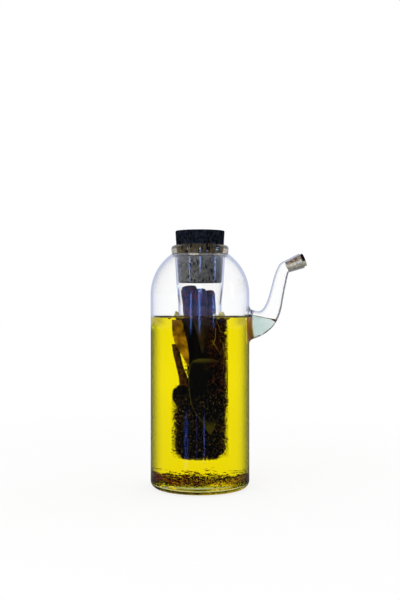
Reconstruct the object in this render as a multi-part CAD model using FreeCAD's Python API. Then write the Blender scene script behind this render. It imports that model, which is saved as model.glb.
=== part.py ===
"""Clear glass oil bottle with a herb tube down its middle, a pouring spout at its side and two corks.

Millimetres. The origin is the centre of the flat base, +Z runs up the bottle's axis and +X points to the spout.
The bottle, its neck, the herb tube and the spout are blown and fused into one piece of glass.
"""

import FreeCAD, Part
import math
import os

from FreeCAD import Vector

# Bottle body: a straight round wall under a dome, on a thick flat base
BODY_RADIUS = 37.5
BODY_WALL = 1.5
SHOULDER_Z = 146.2  # the straight wall ends and the dome starts
BASE_THICKNESS = 5.0
BASE_CORNER = 5.5  # rounding outside, between the wall and the resting face
FLOOR_CORNER = 3.5  # rounding inside, between the wall and the floor

# Large cork: one cone, the same taper inside the neck and above the rim
CORK_MOUTH_RADIUS = 18.26  # the neck's bore and the cork, at the rim
CORK_TAPER = 0.0582  # radius gained per millimetre of height
CORK_DEPTH = 28.5  # below the rim
CORK_HEAD = 11.0  # above the rim
CORK_EDGE = 0.7

# Rim: a rounded bead fused on the dome
BEAD_WIDTH = 3.54  # from the neck's bore to the outside of the bead
BEAD_HEIGHT = 6.4
BEAD_BULGE = 0.6  # how far the bead stands out of the crease under it
BEAD_LIP = 2.6  # rounding between the bead's side and its top
MOUTH_EDGE = 0.7  # rounding between the bead's top and the neck's bore

# Herb tube: hangs from the neck, closed at its lower end
TUBE_RADIUS = 15.15  # bore
TUBE_WALL = 1.3
TUBE_FLOOR_GAP = 16.0  # from the bottle's floor to the underside of the tube
TUBE_CORNER = 5.0  # outer rounding at the closed end
NECK_EXTRA = 3.0  # the neck's cone goes on below the cork by this much
NECK_SHRINK = 14.0  # height over which the cone runs into the straight tube
NECK_JOINT = 1.5  # rounding inside, where the tube is fused to the dome

# Oil
OIL_DROP = 17.2  # from the start of the dome down to the oil's surface

# Spout: centre line from the wall outwards
SPOUT_DROP = 23.6  # from the start of the dome down to the middle of the spout's root
SPOUT_STATIONS = (  # reach from the wall, height above the root, degrees above level, outer radius
    (-6.0, -0.2, 1.0, 11.0),
    (0.0, 0.0, 4.0, 10.9),
    (6.4, 1.9, 17.0, 10.0),
    (13.4, 5.5, 43.0, 7.6),
    (17.4, 11.5, 64.0, 6.5),
    (19.9, 19.4, 75.0, 5.7),
    (22.5, 30.8, 77.5, 5.2),
    (24.9, 40.0, 76.0, 4.8),
    (26.35, 43.16, 49.0, 4.7),
    (28.45, 44.65, 22.0, 4.65),
)
SPOUT_WALL = 1.5  # at the root
SPOUT_TIP_WALL = 1.05
SPOUT_FLARE = 4.0  # rounding outside, where the spout leaves the wall
SPOUT_THROAT = 2.0  # rounding inside, at the same place
TIP_LENGTH = 12.4
TIP_EDGE = 0.4  # rounding of the spout's mouth

# Small cork: a cone in the tip's bore
PLUG_MOUTH_RADIUS = 4.85
PLUG_HEAD = 2.3
PLUG_EDGE = 0.4

# Dried chilies that stand out of the oil. Heights are drops below the large cork, the rest are shares of the
# room across the tube: (drop of the top, x, y), (drop of the tip, x, y), radius
POD_PROFILE = ((0.0, 0.0), (0.5, 0.25), (0.85, 0.58), (1.0, 0.84), (0.0, 1.0))  # share of radius, of length
CHILIES = {
    "chili_left": ((2.0, -0.614, -0.04), (51.1, -0.304, 0.33), 0.396),
    "chili_middle": ((4.2, 0.033, -0.37), (52.6, 0.092, -0.462), 0.271),
    "chili_right": ((5.4, 0.475, -0.04), (49.0, 0.594, 0.165), 0.231),
}

# Bundle of herbs: share of the bundle's height, shift along X and radius as shares of the room across the tube
HERB_CLEARANCE = 0.35
HERB_DROP = 3.3  # from the oil's surface down to the top of the bundle
HERB_STATIONS = (
    (0.0, 0.0, 0.70),
    (0.03, 0.0, 0.86),
    (0.08, 0.0, 0.93),
    (0.21, 0.0, 0.93),
    (0.41, 0.02, 0.90),
    (0.54, 0.17, 0.78),
    (0.80, 0.20, 0.74),
    (0.94, 0.24, 0.66),
    (1.0, 0.26, 0.42),
)
HERB_RIPPLE = 0.05  # unevenness of the outline, as a share of the radius
HERB_POINTS = 14

OUT = "parts"
CLOSE = 1e-3
SEAM_ANGLE = 180  # keeps the seams of the round faces away from the spout
ORIGIN = Vector(0, 0, 0)
UP = Vector(0, 0, 1)

floor_z = BASE_THICKNESS
bead_radius = CORK_MOUTH_RADIUS + BEAD_WIDTH
crease_radius = bead_radius - BEAD_BULGE
dome_angle = math.acos(crease_radius / BODY_RADIUS)
crease_z = SHOULDER_Z + BODY_RADIUS * math.sin(dome_angle)
rim_z = crease_z + BEAD_HEIGHT
cork_bottom_z = rim_z - CORK_DEPTH
cork_top_z = rim_z + CORK_HEAD
tube_bottom_z = floor_z + TUBE_FLOOR_GAP
oil_z = SHOULDER_Z - OIL_DROP
spout_z = SHOULDER_Z - SPOUT_DROP


def at(radius, height):
    """A point of a half section, which lies in the XZ plane."""
    return Vector(radius, 0, height)


def line(start, end):
    return Part.LineSegment(start, end).toShape()


def corner(centre, radius, from_angle, to_angle):
    """A round stretch of a half section, as an arc about centre between two angles in degrees."""
    angles = [math.radians(a) for a in (from_angle, (from_angle + to_angle) / 2, to_angle)]
    points = [centre + radius * Vector(math.cos(a), 0, math.sin(a)) for a in angles]
    return Part.Arc(*points).toShape()


def revolved(edges):
    """The solid that a closed half section sweeps round the bottle's axis."""
    wire = Part.Wire(Part.__sortEdges__(edges))
    solid = Part.Face(wire).revolve(ORIGIN, UP, 360)
    return solid.rotated(ORIGIN, UP, SEAM_ANGLE)


def rounded(solid, radius, chosen):
    """The solid with every edge that chosen(edge) picks rounded."""
    return solid.makeFillet(radius, [e for e in solid.Edges if chosen(e)])


def body_outside():
    """Base, wall, dome and rim bead, with no hollow."""
    side = BEAD_HEIGHT - BEAD_LIP
    side_radius = (BEAD_BULGE**2 + side**2) / (2 * BEAD_BULGE)
    side_angle = math.degrees(math.asin(side / side_radius))
    lip_z = rim_z - BEAD_LIP
    return revolved(
        [
            line(ORIGIN, at(BODY_RADIUS - BASE_CORNER, 0)),
            corner(at(BODY_RADIUS - BASE_CORNER, BASE_CORNER), BASE_CORNER, -90, 0),
            line(at(BODY_RADIUS, BASE_CORNER), at(BODY_RADIUS, SHOULDER_Z)),
            corner(at(0, SHOULDER_Z), BODY_RADIUS, 0, math.degrees(dome_angle)),
            corner(at(bead_radius - side_radius, lip_z), side_radius, -side_angle, 0),
            corner(at(bead_radius - BEAD_LIP, lip_z), BEAD_LIP, 0, 90),
            line(at(bead_radius - BEAD_LIP, rim_z), at(0, rim_z)),
            line(at(0, rim_z), ORIGIN),
        ]
    )


def body_hollow():
    """The space inside the wall and the dome, right across the axis."""
    radius = BODY_RADIUS - BODY_WALL
    return revolved(
        [
            line(at(0, floor_z), at(radius - FLOOR_CORNER, floor_z)),
            corner(at(radius - FLOOR_CORNER, floor_z + FLOOR_CORNER), FLOOR_CORNER, -90, 0),
            line(at(radius, floor_z + FLOOR_CORNER), at(radius, SHOULDER_Z)),
            corner(at(0, SHOULDER_Z), radius, 0, 90),
            line(at(0, SHOULDER_Z + radius), at(0, floor_z)),
        ]
    )


def cork_radius(height):
    """Radius of the large cork, and of the neck that holds it, at a height."""
    return CORK_MOUTH_RADIUS + CORK_TAPER * (height - rim_z)


pod_room = min(TUBE_RADIUS, cork_radius(cork_bottom_z))


def tube_shape(offset):
    """The herb tube's bore, or its outside when offset is the wall, up to the rim."""
    radius = TUBE_RADIUS + offset
    rounding = TUBE_CORNER - TUBE_WALL + offset
    bottom = tube_bottom_z + TUBE_WALL - offset
    cone_end = cork_bottom_z - NECK_EXTRA
    straight_end = cone_end - NECK_SHRINK
    upper = at(cork_radius(cone_end) + offset, cone_end)
    lower = at(radius, straight_end)
    bend = Part.BezierCurve()
    bend.setPoles(
        [
            lower,
            lower + at(0, NECK_SHRINK / 3),
            upper - at(CORK_TAPER, 1) * (NECK_SHRINK / 3),
            upper,
        ]
    )
    return revolved(
        [
            line(at(0, bottom), at(radius - rounding, bottom)),
            corner(at(radius - rounding, bottom + rounding), rounding, -90, 0),
            line(at(radius, bottom + rounding), lower),
            bend.toShape(),
            line(upper, at(cork_radius(rim_z) + offset, rim_z)),
            line(at(cork_radius(rim_z) + offset, rim_z), at(0, rim_z)),
            line(at(0, rim_z), at(0, bottom)),
        ]
    )


def below(solid, height):
    """The part of a solid that is lower than a height."""
    width = 8 * BODY_RADIUS
    slab = Part.makeBox(width, width, height, Vector(-width / 2, -width / 2, 0))
    return solid.common(slab)


def spout_station(number):
    """Place, direction and outer radius of a station on the spout's centre line."""
    reach, height, angle, radius = SPOUT_STATIONS[number]
    direction = Vector(math.cos(math.radians(angle)), 0, math.sin(math.radians(angle)))
    return Vector(BODY_RADIUS + reach, 0, spout_z + height), direction, radius


def spout_shape(wall, tip_wall):
    """The spout from inside the bottle to the start of its tip, inset by a wall that thins along the way."""
    sections = []
    for number in range(len(SPOUT_STATIONS)):
        place, direction, radius = spout_station(number)
        inset = wall + (tip_wall - wall) * number / (len(SPOUT_STATIONS) - 1)
        circle = Part.Circle(place, direction, radius - inset)
        circle.XAxis = Vector(0, 1, 0)
        sections.append(Part.Wire(circle.toShape()))
    return Part.makeLoft(sections, True)


def tip_cone(start, end, start_radius, end_radius):
    """A cone about the tip's axis, between two distances from the tip's start."""
    place, direction, _ = spout_station(-1)
    return Part.makeCone(start_radius, end_radius, end - start, place + start * direction, direction)


def plug_radius(distance):
    """Radius of the small cork, and of the bore that holds it, at a distance along the tip."""
    start_radius = spout_station(-1)[2] - SPOUT_TIP_WALL
    return start_radius + (PLUG_MOUTH_RADIUS - start_radius) * distance / TIP_LENGTH


def wall_crossing(radius):
    """A test for the edges where the spout crosses the body's round wall of this radius."""

    def chosen(edge):
        points = edge.discretize(9)
        on_wall = all(abs(math.hypot(p.x, p.y) - radius) < CLOSE for p in points)
        slanted = max(p.z for p in points) - min(p.z for p in points) > 1
        return on_wall and slanted and min(p.x for p in points) > 0

    return chosen


def ring(radius, height):
    """A test for a round edge about the bottle's axis at a height."""

    def chosen(edge):
        if type(edge.Curve).__name__ != "Circle":
            return False
        curve = edge.Curve
        return abs(curve.Center.z - height) < CLOSE and abs(curve.Radius - radius) < CLOSE

    return chosen


def neck_joint(edge):
    """A test for the round edge where the herb tube meets the dome, the highest one of the hollow."""
    return edge.Closed and edge.Vertexes[0].Z > cork_bottom_z


def plug_seat():
    """The bore that the small cork fills, out to the mouth."""
    return tip_cone(0, TIP_LENGTH, plug_radius(0), plug_radius(TIP_LENGTH))


def oil_space():
    """The closed space between the outer wall and the herb tube, with the spout's bore."""
    hollow = body_hollow().cut(tube_shape(TUBE_WALL))
    hollow = rounded(hollow, NECK_JOINT, neck_joint)
    hollow = hollow.fuse(spout_shape(SPOUT_WALL, SPOUT_TIP_WALL))
    return rounded(hollow, SPOUT_THROAT, wall_crossing(BODY_RADIUS - BODY_WALL))


def tip_distance(edge):
    """How far along the tip's axis an edge starts."""
    place, direction, _ = spout_station(-1)
    return min((point - place).dot(direction) for point in edge.discretize(9))


def glass_bottle():
    """Body, neck, herb tube and spout, in one piece."""
    solid = body_outside().fuse(spout_shape(0, 0))
    solid = rounded(solid, SPOUT_FLARE, wall_crossing(BODY_RADIUS))
    start_radius = spout_station(-1)[2]
    tip = tip_cone(0, TIP_LENGTH, start_radius, PLUG_MOUTH_RADIUS + SPOUT_TIP_WALL)
    tip = rounded(tip, TIP_EDGE, lambda edge: tip_distance(edge) > TIP_LENGTH - CLOSE)
    solid = solid.fuse(tip)
    solid = solid.cut(oil_space()).cut(tube_shape(0)).cut(plug_seat())
    return rounded(solid, MOUTH_EDGE, ring(CORK_MOUTH_RADIUS, rim_z))


def cork_large():
    """A tapered stopper, half in the neck."""
    cork = Part.makeCone(
        cork_radius(cork_bottom_z),
        cork_radius(cork_top_z),
        cork_top_z - cork_bottom_z,
        at(0, cork_bottom_z),
        UP,
    )
    return rounded(cork, CORK_EDGE, lambda edge: type(edge.Curve).__name__ == "Circle")


def cork_small():
    """A tapered stopper in the spout's tip."""
    end = TIP_LENGTH + PLUG_HEAD
    cork = tip_cone(0, end, plug_radius(0), plug_radius(end))
    return rounded(cork, PLUG_EDGE, lambda edge: type(edge.Curve).__name__ == "Circle")


def pod_point(drop, x_share, y_share):
    """A point in the herb tube, so many millimetres below the large cork."""
    return Vector(x_share * pod_room, y_share * pod_room, cork_bottom_z - drop)


def chili(top, tip, radius_share):
    """A dried pod: round at the top, tapering to its tip."""
    top = pod_point(*top)
    tip = pod_point(*tip)
    radius = radius_share * pod_room
    length = (top - tip).Length
    outline = Part.BSplineCurve()
    outline.interpolate(
        Points=[at(share * radius, height * length) for share, height in POD_PROFILE],
        InitialTangent=Vector(1, 0, 0.6),
        FinalTangent=Vector(-1, 0, 0),
    )
    pod = revolved([outline.toShape(), line(at(0, length), at(0, 0))])
    pod.Placement = FreeCAD.Placement(tip, FreeCAD.Rotation(UP, top - tip)).multiply(pod.Placement)
    return pod


def herb_outline(height, shift, radius):
    """A closed uneven outline of the bundle at a height."""
    points = []
    for number in range(HERB_POINTS):
        angle = 2 * math.pi * number / HERB_POINTS
        ripple = math.sin(3 * angle + 0.11 * height) + math.sin(5 * angle - 0.07 * height)
        reach = radius * (1 - HERB_RIPPLE * (1 + ripple / 2))
        points.append(Vector(shift + reach * math.cos(angle), reach * math.sin(angle), height))
    outline = Part.BSplineCurve()
    outline.interpolate(Points=points, PeriodicFlag=True)
    return Part.Wire(outline.toShape())


def herb_bundle(pods):
    """The packed herbs, from the tube's closed end to just under the oil's surface, cut round the pods."""
    bottom = tube_bottom_z + TUBE_WALL + HERB_CLEARANCE
    tall = oil_z - HERB_DROP - bottom
    room = TUBE_RADIUS - HERB_CLEARANCE
    sections = [
        herb_outline(bottom + height * tall, shift * room, radius * room)
        for height, shift, radius in HERB_STATIONS
    ]
    bundle = Part.makeLoft(sections, True)
    for pod in pods:
        bundle = bundle.cut(pod)
    return bundle


def main():
    pods = {name: chili(*values) for name, values in CHILIES.items()}
    bundle = herb_bundle(pods.values())
    oil_inner = below(tube_shape(0), oil_z).cut(bundle)
    for pod in pods.values():
        oil_inner = oil_inner.cut(pod)
    nodes = {
        "glass_bottle": glass_bottle(),
        "cork_large": cork_large(),
        "cork_small": cork_small(),
        "oil_outer": below(oil_space(), oil_z),
        "oil_inner": oil_inner,
        "herb_bundle": bundle,
        **pods,
    }
    os.makedirs(OUT, exist_ok=True)
    for name, shape in nodes.items():
        if not shape.isValid() or len(shape.Solids) != 1:
            raise ValueError(f"{name} is not one valid solid: {len(shape.Solids)}")
        solid = shape.Solids[0]
        solid.exportStep(os.path.join(OUT, name + ".step"))
        print(f"{name}: {solid.Volume / 1000:.2f} cm3")


main()
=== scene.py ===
"""Looks for the glass oil bottle: glass, oil, corks, and the dried leaves, pods and herbs in its oil.

The frame is the CAD model's: Z up from the base, X towards the spout, and the camera looks along Y. Sizes in
this script are in millimetres until MM turns them into Blender's metres.
"""

import bmesh
import bpy
import random
from math import atan2, cos, exp, hypot, pi, radians, sin, sqrt, tau
from mathutils import Matrix, Vector
from mathutils.noise import noise

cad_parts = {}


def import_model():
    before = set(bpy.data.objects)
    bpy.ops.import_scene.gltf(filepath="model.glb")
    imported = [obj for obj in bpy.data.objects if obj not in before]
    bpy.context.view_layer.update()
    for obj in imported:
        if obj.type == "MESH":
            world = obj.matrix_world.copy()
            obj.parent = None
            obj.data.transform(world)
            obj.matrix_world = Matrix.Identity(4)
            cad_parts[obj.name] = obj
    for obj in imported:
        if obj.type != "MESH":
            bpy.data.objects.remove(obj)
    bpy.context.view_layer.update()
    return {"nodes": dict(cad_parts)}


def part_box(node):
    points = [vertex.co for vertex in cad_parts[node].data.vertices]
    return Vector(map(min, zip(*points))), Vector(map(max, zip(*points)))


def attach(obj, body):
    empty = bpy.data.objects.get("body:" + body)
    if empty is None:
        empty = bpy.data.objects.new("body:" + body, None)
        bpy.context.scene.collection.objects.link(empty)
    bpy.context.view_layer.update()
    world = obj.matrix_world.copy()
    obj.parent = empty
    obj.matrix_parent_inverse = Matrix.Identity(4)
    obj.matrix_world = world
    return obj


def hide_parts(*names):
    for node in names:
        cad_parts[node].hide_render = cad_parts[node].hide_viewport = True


MM = 0.001
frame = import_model()
glass_node = frame["nodes"]["glass_bottle"]

# Sizes of the glass
BORE = 36.0  # inner radius of the body
FLOOR_Z = 5.0
FLOOR_CORNER = 3.5
TUBE_BORE = 15.15
TUBE_OUTSIDE = 16.45
TUBE_BOTTOM = 21.0
TUBE_FLOOR = 22.3
TUBE_CORNER = 5.0
INNER_CORNER = TUBE_CORNER - (TUBE_OUTSIDE - TUBE_BORE)
TUBE_ROOM = (TUBE_BORE, TUBE_FLOOR, INNER_CORNER)
BODY_ROOM = (BORE, FLOOR_Z, FLOOR_CORNER)
RIM_Z = 183.53
GLASS_INDEX = 1.47
SPOUT_WALL = 1.45
SPOUT_STATIONS = (  # x, z, degrees above level, outer radius
    (37.5, 122.6, 4.0, 10.9),
    (43.9, 124.5, 17.0, 10.0),
    (50.9, 128.1, 43.0, 7.6),
    (54.9, 134.1, 64.0, 6.5),
    (57.4, 142.0, 75.0, 5.7),
)
SPOUT_LEAN = radians(21.0)  # rise of the part that holds liquid
SPOUT_FOOT = 12.3  # the most that this part's inner wall is away from its axis

# Liquids
OIL_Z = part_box("oil_outer")[1][2] / MM
SEEP = 0.35  # how far liquid reaches into the glass, so that no film of air lies between them
MENISCUS = 1.3  # height and reach of the rise where oil meets glass
SPOUT_TILT = radians(10.0)  # how far the liquid in the spout slopes down outwards
SPOUT_UP = Vector((sin(SPOUT_TILT), 0, cos(SPOUT_TILT)))
SPOUT_LEVEL = Vector((47.5, 0, OIL_Z - 0.2))  # a point of its surface

# The small cork and the spout's tip that it stands in
TIP_START = Vector((65.95, 0, 167.25))
TIP_ANGLE = radians(22)
TIP_LENGTH = 12.4
PLUG_START_RADIUS = 3.6
PLUG_MOUTH_RADIUS = 4.85
PLUG_HEAD = 2.3

CORE = (  # height, shift along X and Y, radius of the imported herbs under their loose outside
    (24.6, 0.0, 0.0, 8.0),
    (27.0, 0.0, 0.0, 11.2),
    (31, 0.0, 0.0, 11.9),
    (52, 0.0, 0.0, 11.9),
    (62, 0.6, 0.2, 11.6),
    (72, 2.8, 0.6, 10.2),
    (85, 3.4, 1.2, 9.4),
    (104, 3.2, 2.6, 9.4),
    (117, 3.0, 3.0, 9.2),
    (128.4, 3.6, 3.4, 9.4),
)

STRIPS = (  # name, place (x, y), width, lowest, highest, brightness, colour
    ("strip_left", (-67.7, -129.9), 32, -6, 54, 5.5, (0.09, 0.22, 1.0)),
    ("strip_middle", (-17.0, -146.0), 8, -6, 54, 3.5, (0.09, 0.22, 1.0)),
    ("strip_right", (21.3, -145.9), 13, -6, 54, 8.0, (0.12, 0.24, 1.0)),
    ("strip_high_left", (-46.0, -139.7), 15, 110, 158, 20, (0.2, 0.38, 1.0)),
    ("strip_high_middle", (-3.0, -147.5), 19, 110, 158, 24, (0.2, 0.4, 1.0)),
    ("strip_high_right", (66.6, -130.7), 14, 114, 160, 22, (0.2, 0.38, 1.0)),
    ("strip_neck_left", (-107.0, -99.0), 18, 140, 204, 22, (0.35, 0.55, 1.0)),
    ("strip_neck_middle", (1.0, -147.5), 24, 146, 204, 16, (0.35, 0.55, 1.0)),
    ("strip_neck_right", (137.0, -45.0), 24, 140, 204, 22, (0.35, 0.55, 1.0)),
)
SOFT_LAMPS = (  # name, place in metres, power in watts
    ("key", (-0.7, -0.9, 1.1), 7),
    ("fill", (1.0, 0.5, 1.0), 3),
)

# Colours: linear, from 0 to 1
GLASS_SHADE = (0.97, 0.97, 0.98)  # what the lamps' light keeps through a clear surface
OIL_SHADE = (0.97, 0.95, 0.75)
GLASS_SHINE = (0.30, 0.32, 0.40)  # share of what clear glass mirrors head on
# Painted shade: the glass's colour dims to lavender towards where it is seen edge-on.
DRY_EDGE_SHADE = (  # from head on to edge-on
    (0.0, (1, 1, 1)),
    (0.66, (1, 1, 1)),
    (0.78, (0.96, 0.975, 1.0)),
    (0.90, (0.86, 0.89, 0.98)),
    (1.0, (0.66, 0.70, 0.84)),
)
# Painted shade: the glass's colour goes nearly black towards where it is seen edge-on with oil behind it.
WET_EDGE_SHADE = (
    (0.0, (1, 1, 1)),
    (0.33, (0.96, 0.96, 0.96)),
    (0.40, (0.86, 0.86, 0.88)),
    (0.46, (0.69, 0.70, 0.75)),
    (0.52, (0.45, 0.47, 0.55)),
    (0.58, (0.27, 0.29, 0.40)),
    (0.66, (0.15, 0.17, 0.30)),
    (0.76, (0.07, 0.085, 0.2)),
    (1.0, (0.05, 0.06, 0.15)),
)
OIL_ABSORBED = (0.988, 0.972, 0.0)
OIL_DENSITY = 170.0
# The spout's thin oil is pale, and tinted green-blue as a painted reflection of bluish light.
PALE_ABSORBED = (0.93, 0.955, 0.95)
PALE_DENSITY = 520.0
# Painted shade: brown where thick glass and oil at the spout's root are seen edge-on.
ROOT_EDGE_SHADE = (0.50, 0.21, 0.03)  # thick glass and oil at the spout's root, seen edge-on
# Painted shade: amber where the spout joins the body.
ROOT_SHADE_TINT = (0.88, 0.66, 0.34)
# Painted shade: olive-grey at both sides just under the oil's surface.
CORNER_SHADE = (0.34, 0.34, 0.22)
# Painted refraction: the cork's tan as the rim bead would show it.
BEAD_REFRACTED_CORK = (0.80, 0.68, 0.46)
# Painted reflection: yellow-green of the oil and sediment that the base mirrors.
BASE_REFLECTED_OIL = (0.50, 0.49, 0.13)
# Painted shadow: the dark line where the bottle stands on the floor.
FOOT_SHADOW = (0.22, 0.15, 0.04)
MIRROR_TINT = (0.72, 0.78, 1.0)

WORLD_LEVEL = 0.6
MIRROR_LEVEL = 0.75  # what gloss shows of the surroundings, dim as the room behind the camera
FLOOR_GLOW_NEAR = 0.78
FLOOR_GLOW_FAR = 0.87


# ---- nodes


class Tree:
    """A node tree, with a short call for each kind of node used here.

    A value handed to a call is another node's output, or a number, a vector or a colour.
    """

    def __init__(self, owner):
        owner.use_nodes = True
        self.nodes = owner.node_tree.nodes
        self.links = owner.node_tree.links

    def join(self, value, socket):
        """Gives an input its value: a link for an output, a constant for anything else."""
        if isinstance(value, bpy.types.NodeSocket):
            self.links.new(value, socket)
        elif socket.type == "RGBA":
            socket.default_value = (*value, 1)
        else:
            socket.default_value = value

    def add(self, kind, values=(), **settings):
        """A new node with its settings, and its inputs' values by name or number."""
        node = self.nodes.new("ShaderNode" + kind)
        for name, setting in settings.items():
            setattr(node, name, setting)
        for key, value in dict(values).items():
            self.join(value, node.inputs[key])
        return node

    def math(self, operation, *values):
        """The result of a Math node."""
        return self.add("Math", enumerate(values), operation=operation).outputs["Value"]

    def times(self, first, *others):
        """The product of several values."""
        for value in others:
            first = self.math("MULTIPLY", first, value)
        return first

    def ease(self, value, start, end, low=0.0, high=1.0):
        """A value eased from low to high while another goes from start to end."""
        values = {"Value": value, "From Min": start, "From Max": end, "To Min": low, "To Max": high}
        return self.add("MapRange", values, interpolation_type="SMOOTHSTEP").outputs["Result"]

    def rise(self, place, start, end):
        """0 to 1 while a place goes from start to end, in millimetres."""
        return self.ease(place, start * MM, end * MM)

    def fall(self, place, start, end):
        """1 to 0 while a place goes from start to end, in millimetres."""
        return self.ease(place, start * MM, end * MM, 1, 0)

    def mix(self, factor, first, second):
        """A blend of two colours."""
        return self.add("Mix", {0: factor, 6: first, 7: second}, data_type="RGBA").outputs[2]

    def ramp(self, factor, stops):
        """A colour ramp over a factor, from (position, colour) stops."""
        node = self.add("ValToRGB", {"Fac": factor})
        elements = node.color_ramp.elements
        while len(elements) < len(stops):
            elements.new(0.5)
        for element, (position, colour) in zip(elements, stops):
            element.position = position
            element.color = (*colour, 1)
        return node.outputs["Color"]

    def noise(self, place, scale, detail=4.0):
        """Noise from 0 to 1, with features of about 1/scale metres."""
        return self.add("TexNoise", {"Vector": place, "Scale": scale, "Detail": detail}).outputs["Fac"]

    def vector(self, operation, first, second, output="Vector"):
        """The result of a Vector Math node."""
        return self.add("VectorMath", {0: first, 1: second}, operation=operation).outputs[output]

    def dot(self, first, second):
        """The dot product of two vectors."""
        return self.vector("DOT_PRODUCT", first, second, "Value")

    def split(self, vector):
        """A vector's parts, by the names X, Y and Z."""
        return self.add("SeparateXYZ", {"Vector": vector}).outputs

    def surface(self):
        """What is known of the point that a ray meets: its Position, Normal and so on."""
        return self.add("NewGeometry").outputs

    def place(self):
        """The point's place in metres, its parts, and its distance from the bottle's axis."""
        position = self.surface()["Position"]
        axes = self.split(position)
        squares = self.math("ADD", *(self.times(axes[axis], axes[axis]) for axis in "XY"))
        return position, axes, self.math("SQRT", squares)

    def bump(self, shader, height, strength, distance):
        """Roughens the shader's surface by a height, over a distance in metres."""
        node = self.add("Bump", {"Height": height, "Strength": strength, "Distance": distance})
        self.join(node.outputs["Normal"], shader["Normal"])


# ---- meshes


def place_piece(mesh, material, smooth=True, crease=40):
    """A piece of the object, which takes its name from its mesh; edges sharper than crease degrees show."""
    mesh.polygons.foreach_set("use_smooth", [smooth] * len(mesh.polygons))
    if smooth:
        mesh.set_sharp_from_angle(angle=radians(crease))
    mesh.materials.append(material)
    piece = bpy.data.objects.new(mesh.name, mesh)
    bpy.context.collection.objects.link(piece)
    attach(piece, "root")
    return piece


def add_piece(name, shape, material, smooth=True):
    """A piece of the object, from its shape: vertices in millimetres, and faces."""
    mesh = bpy.data.meshes.new(name)
    mesh.from_pydata([Vector(v) * MM for v in shape[0]], [], shape[1])
    mesh.update()
    return place_piece(mesh, material, smooth)


def turns(count):
    """The angles of a full turn in even steps."""
    return [tau * i / count for i in range(count)]


def between(table, value):
    """A row of a table at a value of its first column, without that column."""
    value = min(max(value, table[0][0]), table[-1][0])
    for low, high in zip(table, table[1:]):
        if low[0] <= value <= high[0]:
            ease = (value - low[0]) / (high[0] - low[0])
            return [a + (b - a) * ease for a, b in zip(low[1:], high[1:])]


def arc(centre, radius, start, end, steps):
    """Points (radius, height) of an arc in a half section, between two angles in degrees."""
    points = []
    for step in range(steps + 1):
        angle = radians(start + (end - start) * step / steps)
        points.append((centre[0] + radius * cos(angle), centre[1] + radius * sin(angle)))
    return points


def skin(rings):
    """A closed shape over rings of points, each end closed by a point."""
    count = len(rings[0])
    verts = [point for ring in rings for point in ring]
    faces = []
    for row in range(len(rings) - 1):
        a, b = row * count, (row + 1) * count
        for i in range(count):
            j = (i + 1) % count
            faces.append((a + i, a + j, b + j, b + i))
    for start, ring, turned in ((0, rings[0], True), ((len(rings) - 1) * count, rings[-1], False)):
        verts.append(sum((Vector(p) for p in ring), Vector()) / count)
        end = len(verts) - 1
        for i in range(count):
            j = (i + 1) % count
            faces.append((end, start + j, start + i) if turned else (end, start + i, start + j))
    return verts, faces


def revolved(profile, segments):
    """A closed shape from a half section (radius, height), from one level end to the other."""
    rings = []
    for radius, height in profile:
        rings.append([Vector((radius * cos(a), radius * sin(a), height)) for a in turns(segments)])
    return skin(rings)


def two_sided(front, back, rows, columns):
    """A closed leaf from the points of its two sides, each in rows + 1 rows of columns + 1 points."""
    offset, wide = len(front), columns + 1
    faces = []
    for row in range(rows):
        for column in range(columns):
            a = row * wide + column
            b = offset + a
            faces.append((a, a + 1, a + wide + 1, a + wide))
            faces.append((b, b + wide, b + wide + 1, b + 1))
    last = rows * wide
    rim = [*range(wide), *range(wide + columns, last + wide, wide)]
    rim += [*range(last + columns - 1, last - 1, -1), *range(last - wide, 0, -wide)]
    faces += [(b, a, offset + a, offset + b) for a, b in zip(rim, rim[1:] + rim[:1])]
    return front + back, faces


def lumpy_ball(middle, reach, rows, around, lump):
    """A closed ellipsoid with half its sizes in reach, stretched by lump(direction)."""
    rings = []
    for row in range(1, rows):
        polar = pi * row / rows
        ring = []
        for angle in turns(around):
            flat = sin(polar)
            unit = Vector((flat * cos(angle), flat * sin(angle), -cos(polar)))
            ring.append(middle + unit * reach * lump(unit))
        rings.append(ring)
    return skin(rings)


def smooth_path(points, steps):
    """Points along a Catmull-Rom curve through the given ones, with its directions."""
    points = [Vector(p) for p in points]
    ends = [2 * points[0] - points[1]] + points + [2 * points[-1] - points[-2]]
    path = []
    for step in range(steps + 1):
        position = (len(points) - 1) * step / steps
        index = min(int(position), len(points) - 2)
        t = position - index
        p0, p1, p2, p3 = ends[index : index + 4]
        bend = 2 * p0 - 5 * p1 + 4 * p2 - p3
        twist = 3 * p1 - p0 - 3 * p2 + p3
        place = 0.5 * (2 * p1 + (p2 - p0) * t + bend * t**2 + twist * t**3)
        slope = 0.5 * ((p2 - p0) + 2 * bend * t + 3 * twist * t**2)
        path.append((place, slope.normalized()))
    return path


def limb(points, radii, steps, around, bumps=0.0, scale=1.0):
    """A round limb along a curve: radii are (share of the length, radius), bumps roughen it."""
    rings = []
    side = None
    for number, (place, along) in enumerate(smooth_path(points, steps)):
        share = number / steps
        for (s0, r0), (s1, r1) in zip(radii, radii[1:]):
            if s0 <= share <= s1:
                ease = (share - s0) / (s1 - s0) * pi / 2
                radius = r0 + (r1 - r0) * sin(ease) if r1 > r0 else r1 + (r0 - r1) * cos(ease)
        if side is None:
            side = along.orthogonal().normalized()
        side = (side - side.dot(along) * along).normalized()
        other = along.cross(side)
        ring = []
        for angle in turns(around):
            out = cos(angle) * side + sin(angle) * other
            point = place + radius * out
            ring.append(point + bumps * noise(point * scale) * out)
        rings.append(ring)
    return skin(rings)


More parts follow.
